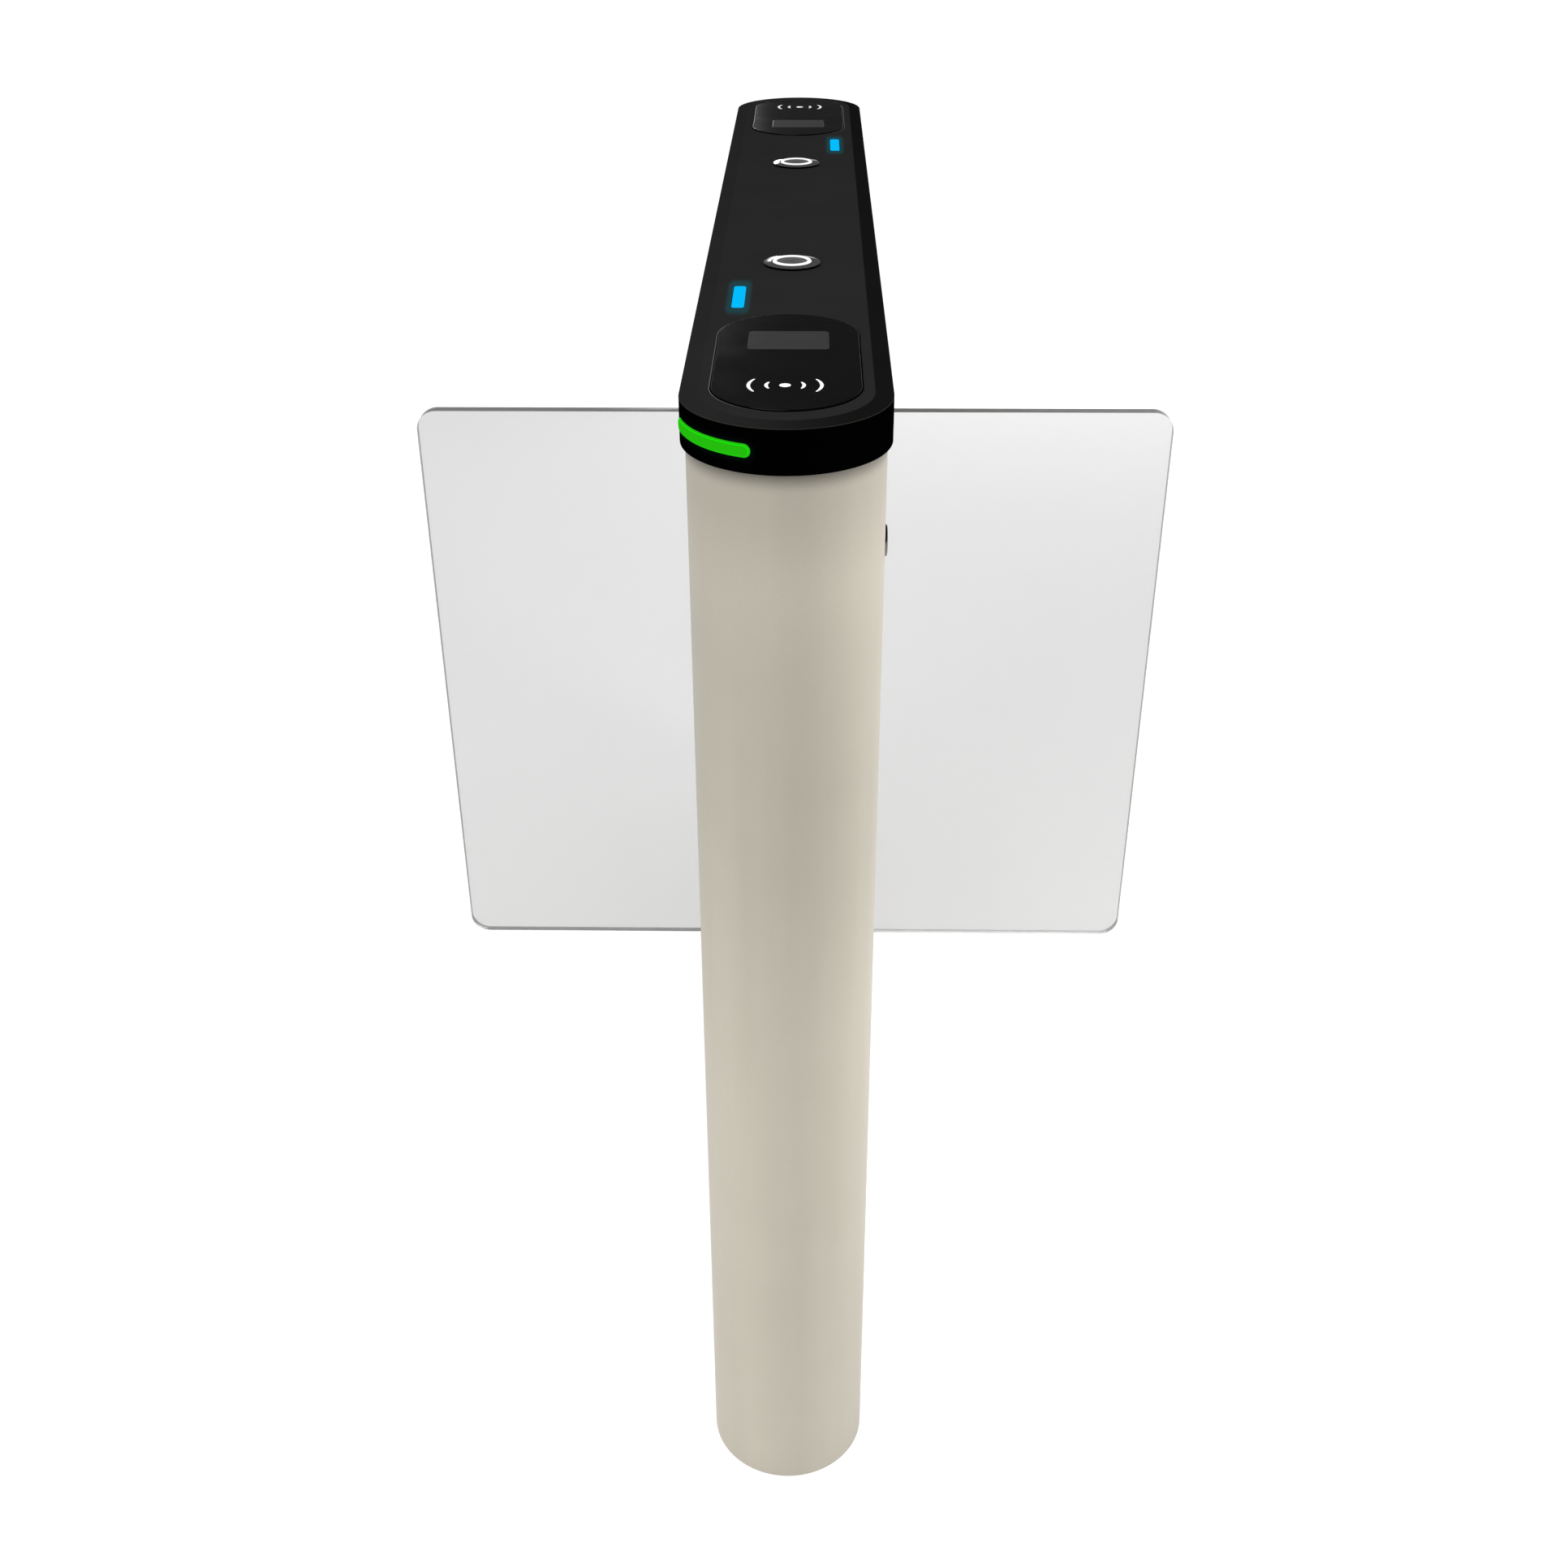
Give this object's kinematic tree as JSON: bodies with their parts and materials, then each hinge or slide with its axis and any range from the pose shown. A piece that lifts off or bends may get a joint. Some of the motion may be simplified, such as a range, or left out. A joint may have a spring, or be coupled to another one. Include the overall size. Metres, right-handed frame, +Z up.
{
  "type": "swing speed gate",
  "caption": "Slim stadium-plan access gate cabinet with a black lid, card readers, lit push buttons and a clear wing that swings from each long side.",
  "frame": {"origin": "on the floor, under the middle of the cabinet", "axes": "+Z up, +Y along the cabinet towards its rear end, +X to the right wing"},
  "size_m": [0.74, 1.2, 1.0034],
  "materials": {
    "shell_metal": "fine satin, warm grey",
    "base_steel": "primed steel plate",
    "frame_steel": "zinc-grey sheet steel",
    "recess_black": "matte black",
    "bush_bronze": "oiled bronze",
    "motor_black": "black motor can",
    "sensor_lens": "dark infrared window",
    "screw_steel": "bright steel",
    "unit_grey": "moulded case",
    "unit_aluminium": "folded aluminium",
    "lid_black": "satin black powder coat",
    "reader_gloss": "polished black",
    "display_grey": "unlit screen",
    "board_green": "circuit board",
    "light_blue": "lit light guide",
    "light_green": "lit light guide",
    "button_metal": "polished bezel",
    "ring_white": "lit ring",
    "cap_steel": "brushed cap",
    "lock_chrome": "plated",
    "wing_clear": "clear, polished edges",
    "column_steel": "satin stainless",
    "gasket_rubber": "black rubber",
    "gear_steel": "cut steel"
  },
  "bodies": {
    "cabinet": {"base_plate": "base_steel", "end_shell_front": "shell_metal", "end_shell_rear": "shell_metal", "side_panel_left": "shell_metal", "side_panel_right": "shell_metal", "bulkhead_front": "frame_steel", "bulkhead_rear": "frame_steel", "inner_post_front": "frame_steel", "inner_post_rear": "frame_steel", "drive_shelf": "frame_steel", "bearing_shelf": "frame_steel", "bay_channel_left": "recess_black", "bay_channel_right": "recess_black", "gear_guards": "shell_metal", "column_bushes": "bush_bronze", "gearmotor_left": "motor_black", "gearmotor_right": "motor_black", "beam_sensors": "sensor_lens", "panel_screws": "screw_steel", "control_unit": "unit_grey", "power_supply": "unit_aluminium", "lid_shell": "lid_black", "lid_chassis": "frame_steel", "reader_window_front": "reader_gloss", "reader_window_rear": "reader_gloss", "display_front": "display_grey", "display_rear": "display_grey", "reader_boards": "board_green", "status_light_front": "light_blue", "status_light_rear": "light_blue", "lamp_strip_front": "light_green", "lamp_strip_rear": "light_green", "lid_keepers": "frame_steel", "button_bezel_front": "button_metal", "button_bezel_rear": "button_metal", "button_ring_front": "ring_white", "button_ring_rear": "ring_white", "button_spring_front": "screw_steel", "button_spring_rear": "screw_steel", "mounting_nuts": "screw_steel", "lock_barrel_front": "lock_chrome", "lock_barrel_rear": "lock_chrome"},
    "wing_left": {"wing_glass_left": "wing_clear", "wing_column_left": "column_steel", "glass_gasket_left": "gasket_rubber", "clamp_bolts_left": "screw_steel", "wing_gear_left": "gear_steel"},
    "drive_left": {"drive_gear_left": "gear_steel"},
    "wing_right": {"wing_glass_right": "wing_clear", "wing_column_right": "column_steel", "glass_gasket_right": "gasket_rubber", "clamp_bolts_right": "screw_steel", "wing_gear_right": "gear_steel"},
    "drive_right": {"drive_gear_right": "gear_steel"},
    "button_front": {"button_cap_front": "cap_steel"},
    "lock_front": {"lock_plug_front": "lock_chrome", "lock_cam_front": "screw_steel"},
    "button_rear": {"button_cap_rear": "cap_steel"},
    "lock_rear": {"lock_plug_rear": "lock_chrome", "lock_cam_rear": "screw_steel"}
  },
  "joints": [
    {"name": "wing_left_swing", "type": "hinge", "parent": "cabinet", "child": "wing_left", "pos_m": [-0.076, 0, 0], "axis": [0, 0, 1], "range_deg": [-90, 90]},
    {"name": "drive_left_turn", "type": "hinge", "parent": "cabinet", "child": "drive_left", "pos_m": [-0.04, 0, 0], "axis": [0, 0, 1], "range_deg": [-45, 45]},
    {"name": "wing_right_swing", "type": "hinge", "parent": "cabinet", "child": "wing_right", "pos_m": [0.076, 0, 0], "axis": [0, 0, 1], "range_deg": [-90, 90]},
    {"name": "drive_right_turn", "type": "hinge", "parent": "cabinet", "child": "drive_right", "pos_m": [0.04, 0, 0], "axis": [0, 0, 1], "range_deg": [-45, 45]},
    {"name": "button_front_press", "type": "slide", "parent": "cabinet", "child": "button_front", "axis": [0, 0, -1], "range_m": [0, 0.0025], "stiffness_N_per_m": 800, "springref_m": -0.003, "deforming": ["button_spring_front"]},
    {"name": "lock_front_turn", "type": "hinge", "parent": "cabinet", "child": "lock_front", "pos_m": [0.068, -0.485, 0.876], "axis": [1, 0, 0], "range_deg": [0, 90]},
    {"name": "button_rear_press", "type": "slide", "parent": "cabinet", "child": "button_rear", "axis": [0, 0, -1], "range_m": [0, 0.0025], "stiffness_N_per_m": 800, "springref_m": -0.003, "deforming": ["button_spring_rear"]},
    {"name": "lock_rear_turn", "type": "hinge", "parent": "cabinet", "child": "lock_rear", "pos_m": [-0.068, 0.485, 0.876], "axis": [-1, 0, 0], "range_deg": [0, 90]}
  ],
  "couplings": [
    {"joint": "drive_left_turn", "follows": "wing_left_swing", "ratio": -0.5},
    {"joint": "drive_right_turn", "follows": "wing_right_swing", "ratio": -0.5}
  ]
}
